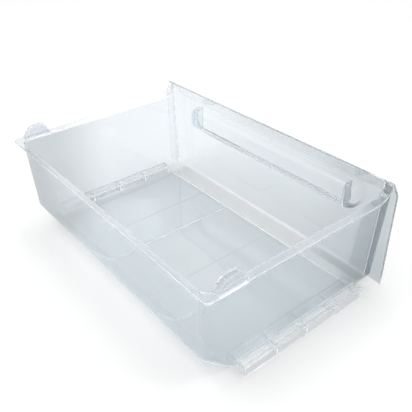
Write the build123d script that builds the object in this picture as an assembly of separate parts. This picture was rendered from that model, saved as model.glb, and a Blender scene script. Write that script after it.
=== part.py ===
from build123d import *
import os

# Clear freezer drawer, moulded in one piece: tub, rim, front panel with grip, runners and stop humps.
# Driving dimensions in millimetres. The drawer front is at -Y, its back at +Y.
depth = 302.0               # foremost line of the front to the rear edge of the rim
rim_width = 450.0           # across the rim flange
wing_reach = 8.0            # side wings of the front panel beyond the rim flange
panel_height = 163.0        # floor to the top edge of the front panel
rim_drop = 20.0             # top of the side and back rim below the panel's top edge
wall = 2.5                  # wall, floor and panel thickness
corner_radius = 10.0        # outside radius of the tub's edges at the floor and the back
front_corner = 3.2          # outside radius of its two upright edges at the front
least_round = 0.4           # smallest radius on the inside of those edges

side_overhang = 11.0        # rim flange beyond the outside of each side wall
side_lean = 7.0             # how far each side wall leans out up to the rim
back_overhang = 7.0         # rear edge of the rim behind the back wall
back_lean = 3.0             # how far the back wall leans out up to the rim
chamfer_run = 36.5          # slope between the floor and the back wall, front to back
chamfer_rise = 37.0         # and its height
front_lean = 3.3            # how far the front wall leans out up to its fold
fold_drop = 26.0            # fold in the front wall below the panel's top edge
panel_setback = 22.0        # panel's rear face behind the foremost line

rim_thickness = 2.5         # rim flange thickness
rim_sweep = 20.0            # radius in which the side rims curve up to the panel
rim_round = 4.5             # rounding from the inside of the walls to the rim
rim_corner = 6.0            # rear corners of the rim, in plan
rim_edge_round = 0.9        # rounding along the rim's upper outer edge

wing_bottom = 12.0          # floor to the lower edge of the wings
wing_cut_run = 7.0          # sloped cut at the upper corners of the wings, inwards
wing_cut_drop = 14.0        # and down
wing_cut_round = 4.0        # rounding at both ends of the cut
wing_low_corner = 2.0       # lower outer corners of the wings
wing_edge_bevel = 0.8       # bevel along the border of the wings

runner_projection = 16.0    # runner's outer face from the tub's floor edge
runner_length = 204.0       # runner, front to back
runner_front = 45.0         # front end of the runner behind the foremost line
runner_height = 14.0        # top of the runner above the floor's underside
runner_wall = 2.0           # its top, skirt and cross webs
runner_bays = 4             # hollow bays under each runner
runner_edge_round = 0.8     # rounding of the runner's outer edges
bead_width = 2.4            # two beads along the top of the runner
bead_rise = 0.8
bead_gap = 3.0              # clear strip between the beads

pad_inside = 49.0           # middle of the drawer to the near side of a raised floor pad
pad_width = 59.0            # each of the two pads
pad_rise = 1.2              # pads above the floor
sill_depth = 42.0           # front floor strip, from the foremost line
sill_rise = 1.2             # front strip above the floor
pad_gap = 5.0               # between the front strip and the pads

grip_length = 352.0         # recessed grip in the front wall, side to side
grip_height = 40.0
grip_drop = 51.0            # middle of the grip below the panel's top edge
grip_depth = 13.0           # recess floor behind the wall's inner face
grip_web_inset = 20.0       # upright webs in the recess, from the ends of the grip
grip_web_thickness = 2.0
grip_round = 8.0            # rounding of the recess's closed side

ear_length = 42.0           # hollow stop humps on the side rims, at their foot
ear_rise = 16.0
ear_width = 9.5
ear_from_back = 14.0        # rear end of the hump before the rear edge of the rim
ear_rear_slope = 12.0       # how far the rear end slopes forward up to the top
ear_front_slope = 9.0       # and the front end back
ear_corner = 9.0            # rounded top corners of the hump
ear_wall = 2.0
ear_edge_round = 1.2        # rounding along the hump's outline

# Places that follow from the driving dimensions.
rim_height = panel_height - rim_drop
fold_height = panel_height - fold_drop
panel_width = rim_width + 2 * wing_reach
floor_width = rim_width - 2 * (side_overhang + side_lean)
fold_y = -depth / 2
foot_y = fold_y + front_lean
panel_y = fold_y + panel_setback
rear_y = depth / 2
back_top_y = rear_y - back_overhang
chamfer_y = back_top_y - back_lean
floor_rear_y = chamfer_y - chamfer_run
runner_front_y = fold_y + runner_front
open_top = panel_height + 4 * wall
side_slope = side_lean / rim_height
grip_centre = panel_height - grip_drop
slack = 0.01                # tolerance for picking edges by their place


def side_prism(sketch, width):
    """A profile in the YZ plane, extruded to both sides of the middle."""
    return extrude(Plane.YZ * sketch, amount=width / 2, both=True)


def front_prism(sketch, near, far):
    """A profile in the XZ plane, extruded from near to far along Y."""
    return extrude(Plane.XZ.offset(-far) * sketch, amount=far - near)


def box_between(low, high):
    """A block from its lowest to its highest corner."""
    size = [b - a for a, b in zip(low, high)]
    middle = [(a + b) / 2 for a, b in zip(low, high)]
    return Pos(*middle) * Box(*size)


def both_sides(solid):
    """A right-hand feature and its mirror image on the left."""
    return solid + mirror(solid, Plane.YZ)


def lowest(edge):
    """Height of an edge's lower end."""
    return min(edge.position_at(0).Z, edge.position_at(1).Z)


def back_wall_y(z):
    """Outer face of the back wall at a height."""
    return chamfer_y + back_lean * (z - chamfer_rise) / (rim_height - chamfer_rise)


def tub_body(inset, open_front=False):
    """The tub as a closed block, with every face moved in by the inset."""
    rake = (panel_setback - wall) / (panel_height - fold_height)
    front = [(fold_y + rake * (open_top - fold_height), open_top), (fold_y, fold_height), (foot_y, 0)]
    if open_front:
        front = [(fold_y - depth, open_top), (fold_y - depth, 0)]
    lengthwise = make_face(Polyline(
        (floor_rear_y, 0),
        (chamfer_y, chamfer_rise),
        (back_wall_y(open_top), open_top),
        *front,
        close=True,
    ))
    half_floor = floor_width / 2
    half_top = half_floor + side_slope * open_top
    crosswise = make_face(Polyline(
        (-half_floor, 0),
        (half_floor, 0),
        (half_top, open_top),
        (-half_top, open_top),
        close=True,
    ))
    if inset:
        lengthwise = offset(lengthwise, -inset, kind=Kind.INTERSECTION)
        crosswise = offset(crosswise, -inset, kind=Kind.INTERSECTION)
    body = side_prism(lengthwise, 2 * rim_width) & front_prism(crosswise, -2 * depth, depth)
    below_fold = body.edges().filter_by(lambda e: lowest(e) < fold_height - 2 * wall)
    body = fillet(below_fold.filter_by(lambda e: not front_upright(e)), corner_radius - inset)
    return fillet(body.edges().filter_by(front_upright), max(front_corner - inset, least_round))


def front_upright(edge):
    """Whether an edge stands between the front wall and a side wall, below the fold."""
    points = [edge.position_at(t) for t in (0, 0.5, 1)]
    at_front = all(p.Y < foot_y + corner_radius for p in points)
    beside = all(abs(p.X) > floor_width / 2 - corner_radius - slack for p in points)
    return at_front and beside and lowest(edge) < fold_height - 2 * wall


def above_rim(drop):
    """Side profile of the space over the rim, lowered by the drop."""
    level = rim_height - drop
    centre = (panel_y + rim_sweep, rim_height + rim_sweep)
    room = open_top + depth
    space = Pos(panel_y - drop + depth, level + room / 2) * Rectangle(2 * depth, room)
    corner = Pos(centre[0] - (rim_sweep + drop) / 2, centre[1] - (rim_sweep + drop) / 2) * Rectangle(
        rim_sweep + drop, rim_sweep + drop)
    return space - (corner - Pos(*centre) * Circle(rim_sweep + drop))


def rim_flange():
    """Flange round the sides and back, curving up to the panel at the front."""
    band = side_prism(above_rim(rim_thickness) - above_rim(0), rim_width)
    front = panel_y - rim_thickness
    plan = Pos(0, (front + rear_y) / 2) * Rectangle(rim_width, rear_y - front)
    rear_corners = plan.vertices().filter_by(lambda v: v.Y > 0)
    plan = fillet(rear_corners, rim_corner)
    flange = band & extrude(plan, amount=panel_height + wall)
    outline = [e for e in flange.edges() if on_rim_border(e)]
    return fillet(outline, rim_edge_round)


def on_rim_border(edge):
    """Whether an edge runs along the upper outer border of the rim flange."""
    points = [edge.position_at(t) for t in (0, 0.5, 1)]
    beside = all(abs(p.X) > rim_width / 2 - slack for p in points)
    behind = all(p.Y > rear_y - rim_corner - slack for p in points)
    level = all(abs(p.Z - rim_height) < slack for p in points)
    swept = edge.geom_type == GeomType.CIRCLE and edge.radius < rim_sweep + slack
    return (behind and level) or (beside and (level or swept))


def mouth_rounding():
    """What is taken off the walls' inner top edge to round it over to the rim."""
    top = panel_height + wall
    block = box_between((-rim_width / 2, fold_y - wall, chamfer_rise), (rim_width / 2, rear_y, top))
    block -= side_prism(above_rim(0), 2 * rim_width)
    block -= tub_body(wall, open_front=True)
    return block - fillet(block.edges().filter_by(on_mouth), rim_round)


def on_mouth(edge):
    """Whether an edge runs between the inside of the walls and the top of the rim."""
    points = [edge.position_at(t) for t in (0, 0.5, 1)]
    half_width = floor_width / 2 + side_slope * open_top - wall / 2
    above = all(p.Z > rim_height - slack for p in points)
    within = all(abs(p.X) < half_width and panel_y - slack < p.Y < back_top_y - wall / 2 for p in points)
    return above and within and lowest(edge) < panel_height


def wings():
    """Upright plates beside the tub, in line with the panel's top edge."""
    half = panel_width / 2
    cut_height = panel_height - wing_cut_drop
    plate = make_face(Polyline(
        (-half, wing_bottom),
        (half, wing_bottom),
        (half, cut_height),
        (half - wing_cut_run, panel_height),
        (wing_cut_run - half, panel_height),
        (-half, cut_height),
        close=True,
    ))
    plate = fillet(plate.vertices().filter_by(lambda v: v.Y > cut_height - slack), wing_cut_round)
    plate = fillet(plate.vertices().filter_by(lambda v: v.Y < wing_bottom + slack), wing_low_corner)
    plate = front_prism(plate, panel_y - wall, panel_y)
    rear_border = plate.faces().sort_by(Axis.Y)[-1].edges()
    return chamfer(rear_border, wing_edge_bevel)


def runner():
    """Hollow ledge along the foot of the right side wall, open below."""
    inside = floor_width / 2 - wall / 2
    outside = floor_width / 2 + runner_projection
    rear = runner_front_y + runner_length
    ledge = box_between((inside, runner_front_y, 0), (outside, rear, runner_height))
    outer = ledge.faces().sort_by(Axis.X)[-1].edges()
    ledge = fillet(outer.filter_by(lambda e: e.center().Z > slack), runner_edge_round)
    pitch = (runner_length - runner_wall) / runner_bays
    for bay in range(runner_bays):
        start = runner_front_y + runner_wall + bay * pitch
        ledge -= box_between(
            (floor_width / 2 - wall, start, -wall),
            (outside - runner_wall, start + pitch - runner_wall, runner_height - runner_wall))
    for row in range(2):
        edge = outside - runner_edge_round - row * (bead_width + bead_gap)
        ledge += box_between(
            (edge - bead_width, runner_front_y, runner_height),
            (edge, rear, runner_height + bead_rise))
    return ledge


def floor_pad():
    """Raised pad on the right of the floor, carried on up the slope at the back."""
    start = fold_y + sill_depth + pad_gap
    band = box_between(
        (pad_inside, start, 0),
        (pad_inside + pad_width, rear_y, chamfer_rise))
    return band & (tub_body(wall / 2) - tub_body(wall + pad_rise))


def sill():
    """Front strip of the floor, a step higher than the rest."""
    strip = box_between(
        (-rim_width / 2, fold_y, wall / 2),
        (rim_width / 2, fold_y + sill_depth, wall + sill_rise))
    return strip & tub_body(wall / 2)


def grip_outline(inset):
    """Outline of the grip seen from the front."""
    length = grip_length - 2 * inset
    height = grip_height - 2 * inset
    return Pos(0, grip_centre) * SlotOverall(length, height)


def grip_block():
    """The grip's moulding, standing into the tub from the front wall."""
    end = foot_y + wall + grip_depth
    block = front_prism(grip_outline(0), fold_y, end)
    closed = block.faces().sort_by(Axis.Y)[-1]
    block = fillet(closed.edges(), grip_round + wall)
    return block & tub_body(wall / 2)


def grip_recess():
    """Finger space of the grip, open at the front, with its two webs left standing."""
    end = foot_y + grip_depth
    inside = grip_length / 2 - grip_web_inset - grip_web_thickness
    space = front_prism(grip_outline(wall), fold_y - depth, end)
    closed = space.faces().sort_by(Axis.Y)[-1]
    space = fillet(closed.edges(), grip_round)
    web = box_between(
        (inside, foot_y, grip_centre - grip_height),
        (inside + grip_web_thickness, end + wall, grip_centre + grip_height))
    return space - both_sides(web)


def ear_outline(inset):
    """Side profile of a stop hump, with its top and ends moved in by the inset."""
    rear = rear_y - ear_from_back
    front = rear - ear_length
    root = rim_height - rim_thickness
    top = rim_height + ear_rise
    hump = make_face(Polyline(
        (front, root),
        (rear, root),
        (rear, rim_height),
        (rear - ear_rear_slope, top),
        (front + ear_front_slope, top),
        (front, rim_height),
        close=True,
    ))
    crown = hump.vertices().filter_by(lambda v: v.Y > top - slack)
    hump = fillet(crown, ear_corner)
    if inset:
        hump = offset(hump, -inset, kind=Kind.INTERSECTION)
        hump += Pos(0, -inset) * hump
        hump += Pos(0, -inset) * hump
    return hump


def ear_hump(inset):
    """Block of the right-hand stop hump, or of the space inside it."""
    middle = floor_width / 2 + side_lean + ear_width / 2
    across = ear_width - 2 * inset
    hump = side_prism(ear_outline(inset), across)
    if not inset:
        hump = fillet(hump.faces().filter_by(Axis.X).edges().filter_by(above_root), ear_edge_round)
    return Pos(middle, 0, 0) * hump


def above_root(edge):
    """Whether an edge lies higher than the foot of the stop hump."""
    return edge.center().Z > rim_height - rim_thickness + slack


def drawer_moulding():
    """The whole drawer."""
    cavity = tub_body(wall)
    shell = tub_body(0) - cavity
    shell -= side_prism(above_rim(0), 2 * rim_width)
    shell += rim_flange() - cavity
    shell += wings() - cavity
    shell -= mouth_rounding()
    shell -= box_between((-depth * 2, -depth, panel_height), (depth * 2, depth, 2 * open_top))
    shell += both_sides(runner())
    shell += both_sides(floor_pad())
    shell += sill()
    shell += grip_block()
    shell -= grip_recess()
    shell += both_sides(ear_hump(0))
    shell -= both_sides(ear_hump(ear_wall))
    return shell


os.makedirs("parts", exist_ok=True)
drawer = drawer_moulding()
export_step(drawer, "parts/drawer_moulding.step")
box = drawer.bounding_box()
print("drawer_moulding", len(drawer.solids()), "solid", round(drawer.volume / 1000, 1), "cm3")
print("from", box.min, "to", box.max)
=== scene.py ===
import math

import bpy
from mathutils import Euler, Matrix, Vector


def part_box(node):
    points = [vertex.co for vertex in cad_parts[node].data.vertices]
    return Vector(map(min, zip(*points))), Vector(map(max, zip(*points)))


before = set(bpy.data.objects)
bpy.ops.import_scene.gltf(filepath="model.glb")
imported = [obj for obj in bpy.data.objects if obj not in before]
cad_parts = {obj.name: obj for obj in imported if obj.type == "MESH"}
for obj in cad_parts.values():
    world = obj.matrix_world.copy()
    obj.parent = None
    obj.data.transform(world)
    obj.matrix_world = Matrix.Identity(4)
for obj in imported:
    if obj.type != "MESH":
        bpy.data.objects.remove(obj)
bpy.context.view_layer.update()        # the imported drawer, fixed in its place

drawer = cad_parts["drawer_moulding"]
low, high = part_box("drawer_moulding")
print("frame loaded, drawer from", [round(v, 4) for v in low], "to", [round(v, 4) for v in high])

colourA, colourB, colourMix = 6, 7, 2    # the colour sockets of a Mix node


def blankMaterial(name):
    material = bpy.data.materials.new(name)
    material.use_nodes = True
    material.node_tree.nodes.clear()
    return material


def addNode(tree, kind, **values):
    node = tree.nodes.new(kind)
    for name, value in values.items():
        if hasattr(node, name):
            setattr(node, name, value)
        else:
            node.inputs[name].default_value = value
    return node


# Link another node's output to a socket, or set the socket to a plain value
def feed(tree, value, socket):
    if isinstance(value, bpy.types.NodeSocket):
        tree.links.new(value, socket)
    else:
        socket.default_value = value


def mathNode(tree, operation, first, second=0.0):
    node = addNode(tree, "ShaderNodeMath", operation=operation)
    feed(tree, first, node.inputs[0])
    feed(tree, second, node.inputs[1])
    return node.outputs[0]


def over(tree, value, limit):
    return mathNode(tree, "GREATER_THAN", value, limit)


def under(tree, value, limit):
    return mathNode(tree, "LESS_THAN", value, limit)


def both(tree, first, second):
    return mathNode(tree, "MULTIPLY", first, second)


def either(tree, first, second):
    return mathNode(tree, "MAXIMUM", first, second)


# Carry a value from the range start..end over to the range bottom..top
def ramp(tree, value, start, end, bottom=0.0, top=1.0, shape="LINEAR"):
    node = addNode(tree, "ShaderNodeMapRange", interpolation_type=shape)
    settings = {"Value": value, "From Min": start, "From Max": end, "To Min": bottom, "To Max": top}
    for name, setting in settings.items():
        feed(tree, setting, node.inputs[name])
    return node.outputs["Result"]


def noise(tree, place, scale, detail):
    node = addNode(tree, "ShaderNodeTexNoise", Scale=scale, Detail=detail)
    tree.links.new(place, node.inputs["Vector"])
    return node.outputs["Fac"]


def bump(tree, height, depth, normal):
    node = addNode(tree, "ShaderNodeBump", Strength=1.0, Distance=depth)
    tree.links.new(height, node.inputs["Height"])
    tree.links.new(normal, node.inputs["Normal"])
    return node.outputs["Normal"]


def mixTint(tree, base, tint, mask):
    mix = addNode(tree, "ShaderNodeMix", data_type="RGBA")
    tree.links.new(mask, mix.inputs["Factor"])
    feed(tree, base, mix.inputs[colourA])
    mix.inputs[colourB].default_value = tint
    return mix.outputs[colourMix]


# Moulded edges, found from how far a rounded normal turns away from the true one
edgeLook = {
    "samples": 10,
    "flat": 0.995,       # cosine of the turn where an edge starts to show
    "sharp": 0.85,       # and where it shows in full
}


def makeEdgeGroup(look):
    group = bpy.data.node_groups.new("moulded_edges", "ShaderNodeTree")
    group.interface.new_socket("Reach", in_out="INPUT", socket_type="NodeSocketFloat")
    group.interface.new_socket("Edge", in_out="OUTPUT", socket_type="NodeSocketFloat")
    group.interface.new_socket("Rounded", in_out="OUTPUT", socket_type="NodeSocketVector")
    source = addNode(group, "NodeGroupInput")
    result = addNode(group, "NodeGroupOutput")
    rounded = addNode(group, "ShaderNodeBevel", samples=look["samples"])
    group.links.new(source.outputs["Reach"], rounded.inputs["Radius"])
    straight = addNode(group, "ShaderNodeNewGeometry")
    turn = addNode(group, "ShaderNodeVectorMath", operation="DOT_PRODUCT")
    group.links.new(rounded.outputs["Normal"], turn.inputs[0])
    group.links.new(straight.outputs["Normal"], turn.inputs[1])
    cosine = mathNode(group, "ABSOLUTE", turn.outputs["Value"])
    group.links.new(ramp(group, cosine, look["flat"], look["sharp"]), result.inputs["Edge"])
    group.links.new(rounded.outputs["Normal"], result.inputs["Rounded"])
    return group


edgeGroup = makeEdgeGroup(edgeLook)
print("edge group made")

# Clear polystyrene, places in metres in from the drawer's box
plasticLook = {
    "ior": 1.55,
    "tint": (0.81, 0.86, 0.885, 1.0),           # what one wall lets through
    "paleTint": (0.86, 0.90, 0.92, 1.0),        # where the melt ran thinner
    "flowScale": 6.0,                           # melt variation, per metre
    "flowDetail": 3.0,
    "fields": {                                 # tints of their own, each laid over the ones before; several stand in for light and shade
        "panelShade": (0.70, 0.745, 0.77, 1.0),      # painted shade: front wall and panel darker towards one end, standing in for darker surroundings seen in and through them
        "sillLight": (0.96, 0.975, 0.985, 1.0),      # painted light: front strip of the floor made paler, lifting the shade that the front wall casts there
        "rim": (0.94, 0.955, 0.97, 1.0),        # painted light: rim and wings made paler, standing in for the light they gather and reflect
        "cornerShade": (0.58, 0.62, 0.645, 1.0),     # painted shade: two diagonal corners darkened, standing in for the darker ground seen through them
        # painted light: runner tops made paler, standing in for the bright overhead light they reflect
        "runnerLight": (0.94, 0.955, 0.97, 1.0),
        "hump": (0.84, 0.86, 0.89, 1.0),        # stop humps on the rim
        "gripLight": (0.985, 0.99, 0.995, 1.0),      # painted light: lower wall of the grip made nearly clear, lightening the dark line that refraction draws there
        "lipShade": (0.60, 0.63, 0.66, 1.0),         # painted shade: upper edge of the panel darkened, standing in for the dark surroundings it reflects
        "edge": (0.97, 0.98, 0.99, 1.0),        # painted light: moulded edges behind the panel made paler, standing in for the bright lines that light draws along them
    },
    "frontDepth": 0.025,                        # front wall, panel and wings
    "panelFrom": 0.15,                          # side to side, where the panel's painted shade starts
    "panelTo": -0.08,                           # and where it is darkest
    "sillDepth": 0.0425,
    "sillTop": 0.0045,
    "rimDrop": 0.0232,                          # rim and humps lie above this
    "wingWidth": 0.016,
    "cornerFrom": 0.26,                         # along the diagonal, where a corner's painted shade starts
    "cornerTo": 0.37,                           # and where it is complete
    "cornerSooner": 0.05,                       # the rear corner and the front reach it this much sooner
    "cornerSpared": 0.5,                        # share of it that the rim is spared
    "runnerWidth": 0.0252,
    "runnerTop": 0.0155,
    "humpDrop": 0.0194,
    "gripDrop": (0.075, 0.062),                 # lowest and highest of the grip's lower wall
    "gripHalf": 0.156,                          # middle of the drawer to the webs of the grip
    "lipDrop": 0.0018,
    "edgeReach": 0.0010,                        # how far the pale edges run into the faces
    "edgeFrost": 0.12,                          # roughness there
    "polish": (0.012, 0.05),                    # roughness of the polished walls
    "skinScale": 420.0,                         # fine skin of the mould, per metre
    "skinDetail": 4.0,
    "skinDepth": 0.00002,
    "waveScale": 9.0,                           # slow waviness of the walls
    "waveDetail": 1.0,
    "waveDepth": 0.0012,
}


def fieldMasks(tree, place, edge, look):
    axes = addNode(tree, "ShaderNodeSeparateXYZ")
    tree.links.new(place, axes.inputs[0])
    x, y, z = axes.outputs
    side = mathNode(tree, "ABSOLUTE", x)
    front = under(tree, y, low.y + look["frontDepth"])
    behind = mathNode(tree, "SUBTRACT", 1.0, front)
    rim = both(tree, behind, over(tree, z, high.z - look["rimDrop"]))
    wing = both(tree, front, over(tree, side, high.x - look["wingWidth"]))
    # painted shade on the front, growing from side to side
    panelShadeRamp = ramp(tree, x, look["panelFrom"], look["panelTo"])
    sillStrip = under(tree, y, low.y + look["sillDepth"])
    runnerStrip = over(tree, side, high.x - look["runnerWidth"])

    gripLow, gripHigh = (high.z - drop for drop in look["gripDrop"])
    gripBand = both(tree, over(tree, z, gripLow), under(tree, z, gripHigh))
    gripSpan = both(tree, front, under(tree, side, look["gripHalf"]))

    # painted shade: two diagonal corners are darkened
    diagonal = mathNode(tree, "ADD", x, y)
    early = either(tree, front, over(tree, diagonal, 0.0))
    sooner = mathNode(tree, "MULTIPLY", early, look["cornerSooner"])
    reach = mathNode(tree, "ADD", mathNode(tree, "ABSOLUTE", diagonal), sooner)
    cornerShade = ramp(tree, reach, look["cornerFrom"], look["cornerTo"], shape="SMOOTHSTEP")
    spared = mathNode(tree, "MULTIPLY", rim, look["cornerSpared"])

    # the panel, corner and lip masks carry painted shade; the sill, rim, runner, grip and edge masks carry
    # painted light
    return {
        "panelShade": both(tree, front, panelShadeRamp),
        "sillLight": both(tree, sillStrip, under(tree, z, low.z + look["sillTop"])),
        "rim": either(tree, rim, wing),
        "cornerShade": both(tree, cornerShade, mathNode(tree, "SUBTRACT", 1.0, spared)),
        "runnerLight": both(tree, runnerStrip, under(tree, z, low.z + look["runnerTop"])),
        "hump": both(tree, behind, over(tree, z, high.z - look["humpDrop"])),
        "gripLight": both(tree, gripSpan, gripBand),
        "lipShade": over(tree, z, high.z - look["lipDrop"]),
        "edge": both(tree, behind, edge.outputs["Edge"]),
    }


def makePlastic(look):
    material = blankMaterial("clear_polystyrene")
    tree = material.node_tree
    output = addNode(tree, "ShaderNodeOutputMaterial")
    shader = addNode(tree, "ShaderNodeBsdfPrincipled", IOR=look["ior"])
    shader.inputs["Transmission Weight"].default_value = 1.0
    tree.links.new(shader.outputs["BSDF"], output.inputs["Surface"])
    place = addNode(tree, "ShaderNodeTexCoord").outputs["Object"]
    edge = addNode(tree, "ShaderNodeGroup", node_tree=edgeGroup)
    edge.inputs["Reach"].default_value = look["edgeReach"]

    flow = noise(tree, place, look["flowScale"], look["flowDetail"])
    colour = mixTint(tree, look["tint"], look["paleTint"], flow)
    masks = fieldMasks(tree, place, edge, look)
    for field, tint in look["fields"].items():
        colour = mixTint(tree, colour, tint, masks[field])
    tree.links.new(colour, shader.inputs["Base Color"])

    skin = noise(tree, place, look["skinScale"], look["skinDetail"])
    polish = ramp(tree, skin, 0.0, 1.0, *look["polish"])
    frost = mathNode(tree, "MULTIPLY", edge.outputs["Edge"], look["edgeFrost"])
    tree.links.new(either(tree, polish, frost), shader.inputs["Roughness"])

    wave = noise(tree, place, look["waveScale"], look["waveDetail"])
    wavy = bump(tree, wave, look["waveDepth"], edge.outputs["Rounded"])
    tree.links.new(bump(tree, skin, look["skinDepth"], wavy), shader.inputs["Normal"])
    return material


drawer.data.materials[0] = makePlastic(plasticLook)
print("clear plastic on", drawer.name, "with", len(plasticLook["fields"]), "fields of tint")

# Floor and light
studio = {
    "floorSize": 12.0,
    "floorGap": 0.0002,                     # floor below the drawer, so that their faces stay apart
    "floorColor": (0.86, 0.86, 0.86, 1.0),
    "floorLift": 0.25,                      # brings the open floor up to white for what sees it directly
    "skyColor": (1.0, 1.0, 1.0, 1.0),
    "skyLight": 0.80,                       # world level as a lamp
    "skyLow": 0.92,                         # what sees the world directly finds this at the horizon
    "skyHigh": 1.22,                        # and this well above it
    "skyReach": 0.6,                        # sine of the elevation where that is reached
    "softboxes": [
        {"name": "keySoftbox", "place": (0.5, 0.7, 1.5), "size": 0.6, "watts": 3.0},
        {"name": "topSoftbox", "place": (0.3, -0.3, 2.0), "size": 0.5, "watts": 3.0},
        {"name": "sideSoftbox", "place": (-0.9, -0.6, 1.2), "size": 0.4, "watts": 2.0},
    ],
}


# The camera, and what it sees in mirrors and through clear plastic
def sightMask(tree):
    path = addNode(tree, "ShaderNodeLightPath")
    direct = either(tree, path.outputs["Is Camera Ray"], path.outputs["Is Glossy Ray"])
    return either(tree, direct, path.outputs["Is Transmission Ray"])


def makeFloor(look):
    bpy.ops.mesh.primitive_plane_add(size=look["floorSize"], location=(0, 0, low.z - look["floorGap"]))
    floor = bpy.context.object
    floor.name = "floor"
    material = blankMaterial("pale_floor")
    tree = material.node_tree
    output = addNode(tree, "ShaderNodeOutputMaterial")
    matt = addNode(tree, "ShaderNodeBsdfDiffuse", Color=look["floorColor"])
    lift = addNode(tree, "ShaderNodeEmission")
    tree.links.new(mathNode(tree, "MULTIPLY", sightMask(tree), look["floorLift"]), lift.inputs["Strength"])
    lifted = addNode(tree, "ShaderNodeAddShader")
    tree.links.new(matt.outputs[0], lifted.inputs[0])
    tree.links.new(lift.outputs[0], lifted.inputs[1])
    tree.links.new(lifted.outputs[0], output.inputs["Surface"])
    floor.data.materials.append(material)


def makeWorld(look):
    world = bpy.data.worlds.new("studio")
    world.use_nodes = True
    tree = world.node_tree
    tree.nodes.clear()
    output = addNode(tree, "ShaderNodeOutputWorld")
    sky = addNode(tree, "ShaderNodeBackground", Color=look["skyColor"])
    direction = addNode(tree, "ShaderNodeSeparateXYZ")
    tree.links.new(addNode(tree, "ShaderNodeTexCoord").outputs["Generated"], direction.inputs[0])
    height = direction.outputs["Z"]
    glow = ramp(tree, height, 0.0, look["skyReach"], look["skyLow"], look["skyHigh"], shape="SMOOTHSTEP")
    level = ramp(tree, sightMask(tree), 0.0, 1.0, look["skyLight"], glow)
    tree.links.new(level, sky.inputs["Strength"])
    tree.links.new(sky.outputs[0], output.inputs["Surface"])
    bpy.context.scene.world = world


def makeSoftbox(box):
    light = bpy.data.lights.new(box["name"], "AREA")
    light.size = box["size"]
    light.energy = box["watts"]
    lamp = bpy.data.objects.new(box["name"], light)
    bpy.context.scene.collection.objects.link(lamp)
    lamp.location = box["place"]
    aim = (low + high) / 2 - Vector(box["place"])
    lamp.rotation_euler = aim.to_track_quat("-Z", "Y").to_euler()
    lamp.visible_camera = False


makeFloor(studio)
makeWorld(studio)
for box in studio["softboxes"]:
    makeSoftbox(box)
print("floor, world and", len(studio["softboxes"]), "softboxes")

# Camera, behind the drawer and to its left
camera = {
    "place": (-0.51487, 0.37628, 0.4938),
    "heading": -38.12,          # degrees from +X
    "down": 33.319,
    "roll": -1.289,
    "lens": 47.55,
    "sensor": 36.0,
    "nearest": 0.01,            # what is closer isn't seen
}

# Clear edges turn dark where light may bounce only a few times
bounces = {
    "max_bounces": 128,
    "transmission_bounces": 128,
    "glossy_bounces": 128,
    "diffuse_bounces": 4,
}


def makeCamera(view):
    eye = bpy.data.cameras.new("camera")
    eye.lens = view["lens"]
    eye.sensor_width = view["sensor"]
    eye.clip_start = view["nearest"]
    holder = bpy.data.objects.new("camera", eye)
    bpy.context.scene.collection.objects.link(holder)
    pitch = math.radians(90 - view["down"])
    turn = Euler((pitch, 0, math.radians(view["heading"] - 90))).to_matrix().to_4x4()
    turn = turn @ Matrix.Rotation(math.radians(view["roll"]), 4, "Z")
    holder.matrix_world = Matrix.Translation(view["place"]) @ turn
    bpy.context.scene.camera = holder


makeCamera(camera)
scene = bpy.context.scene
scene.view_settings.view_transform = "Standard"
for name, count in bounces.items():
    setattr(scene.cycles, name, count)
print("camera set")
